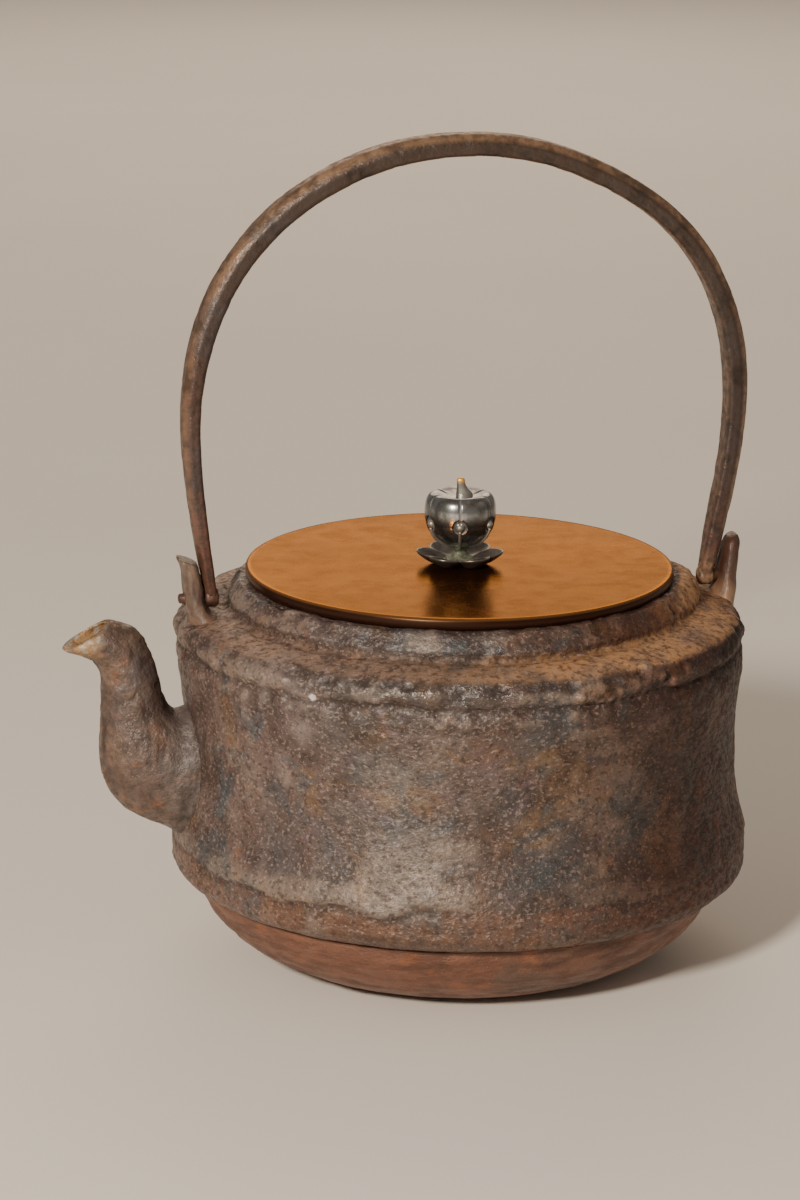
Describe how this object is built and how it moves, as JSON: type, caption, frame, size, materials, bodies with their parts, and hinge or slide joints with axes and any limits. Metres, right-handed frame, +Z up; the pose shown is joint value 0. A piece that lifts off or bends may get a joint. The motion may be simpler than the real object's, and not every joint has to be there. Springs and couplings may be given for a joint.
{
  "type": "cast iron kettle",
  "caption": "Round cast iron kettle with a curved beak spout, a hinged bail handle and a flat lid that lifts off by a small fruit-shaped knob.",
  "frame": {"origin": "centre of the flat base, where the kettle stands", "axes": "+Z up; the spout points along -X; the bail stands in the XZ plane and hinges about X"},
  "size_m": [0.2026, 0.1692, 0.2437],
  "materials": {
    "cast_body": "rough rusted sand casting",
    "cast_pan": "smoother red-brown iron",
    "filler": "matt dark filler",
    "cast_spout": "rusted casting with a pale scaled mouth",
    "cast_lug": "smooth worn casting",
    "forged_iron": "forged, dark brown, worn bright on its bevels",
    "lid_bronze": "patinated brown bronze, half gloss",
    "petal_metal": "dark patina with bright worn edges",
    "neck_metal": "dull brass with grey-green verdigris",
    "knob_metal": "polished dark silver"
  },
  "bodies": {
    "kettle": {"body_shell": "cast_body", "bottom_pan": "cast_pan", "seam_filler": "filler", "spout": "cast_spout", "spout_side_lug": "cast_lug", "rear_lug": "cast_lug"},
    "bail": {"handle_bail": "forged_iron"},
    "lid": {"lid_disc": "lid_bronze", "lid_flange": "lid_bronze", "under_lid_washer": "knob_metal", "petal_washer": "petal_metal", "knob_neck": "neck_metal", "knob_shank": "neck_metal", "knob_fruit": "knob_metal", "knob_beads": "knob_metal", "knob_stalk": "knob_metal"}
  },
  "joints": [
    {"name": "bail_hinge", "type": "hinge", "parent": "kettle", "child": "bail", "pos_m": [0, 0, 0.1105], "axis": [1, 0, 0], "range_deg": [-80, 80]},
    {"name": "lid_lift", "type": "slide", "parent": "kettle", "child": "lid", "axis": [0, 0, 1], "range_m": [0, 0.06]}
  ]
}
